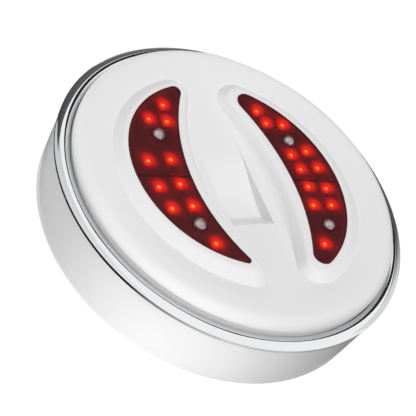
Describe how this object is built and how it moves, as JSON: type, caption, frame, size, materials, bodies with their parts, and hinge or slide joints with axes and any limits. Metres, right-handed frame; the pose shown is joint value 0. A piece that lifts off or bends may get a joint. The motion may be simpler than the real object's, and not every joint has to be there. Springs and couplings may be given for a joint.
{
  "type": "eye massager",
  "caption": "Round face massager: a dished plate in a chrome ring, with two lit red crescent windows round a nose pocket, shaking motors inside and push buttons on the wall.",
  "frame": {"origin": "centre of the back, on the surface that the massager rests on", "axes": "+Z out of the face, +Y towards the forehead and the buttons, +X across the crescents"},
  "size_m": [0.15, 0.15, 0.0323],
  "materials": {
    "white_gloss": "glossy moulded plastic",
    "white_satin": "satin moulded plastic",
    "chrome": "bright plated",
    "red_lens": "dark red see-through plastic",
    "red_lamp": "lit red lamp",
    "clear_lamp": "clear moulded dome",
    "circuit_board": "solder mask",
    "chip": "black moulded",
    "screw_steel": "zinc plated",
    "socket_steel": "drawn shell",
    "motor_steel": "drawn can",
    "weight_brass": "sintered",
    "seal_rubber": "soft silicone",
    "pad_foam": "foam tape",
    "battery_foil": "foil pouch",
    "button_grey": "smooth moulded plastic"
  },
  "bodies": {
    "case": {"housing": "white_gloss", "back_cover": "white_gloss", "face_plate": "white_satin", "trim_ring": "chrome", "right_upper_lens": "red_lens", "right_lower_lens": "red_lens", "left_upper_lens": "red_lens", "left_lower_lens": "red_lens", "right_red_lamps": "red_lamp", "left_red_lamps": "red_lamp", "right_clear_lamps": "clear_lamp", "left_clear_lamps": "clear_lamp", "charge_light": "clear_lamp", "right_lamp_board": "circuit_board", "left_lamp_board": "circuit_board", "main_board": "circuit_board", "board_parts": "chip", "power_switch": "chip", "mode_switch": "chip", "lamp_board_screws": "screw_steel", "board_screws": "screw_steel", "cover_screws": "screw_steel", "clamp_screws": "screw_steel", "charging_socket": "socket_steel", "right_motor": "motor_steel", "left_motor": "motor_steel", "right_motor_clamp": "motor_steel", "left_motor_clamp": "motor_steel", "face_seal": "seal_rubber", "battery_pad": "pad_foam", "battery": "battery_foil"},
    "power_key": {"power_button": "button_grey", "power_plunger": "button_grey"},
    "mode_key": {"mode_button": "button_grey", "mode_plunger": "button_grey"},
    "left_rotor": {"left_shaft": "motor_steel", "left_weight": "weight_brass"},
    "right_rotor": {"right_shaft": "motor_steel", "right_weight": "weight_brass"}
  },
  "joints": [
    {"name": "power_press", "type": "slide", "parent": "case", "child": "power_key", "axis": [0.2756, -0.9613, 0], "range_m": [0, 0.0008], "stiffness_N_per_m": 900, "springref_m": -0.0008},
    {"name": "mode_press", "type": "slide", "parent": "case", "child": "mode_key", "axis": [-0.2756, -0.9613, 0], "range_m": [0, 0.0008], "stiffness_N_per_m": 900, "springref_m": -0.0008},
    {"name": "left_spin", "type": "hinge", "parent": "case", "child": "left_rotor", "pos_m": [-0.042, -0.016, 0.0097], "axis": [0, 1, 0], "continuous": true},
    {"name": "right_spin", "type": "hinge", "parent": "case", "child": "right_rotor", "pos_m": [0.042, -0.016, 0.0097], "axis": [0, 1, 0], "continuous": true}
  ]
}
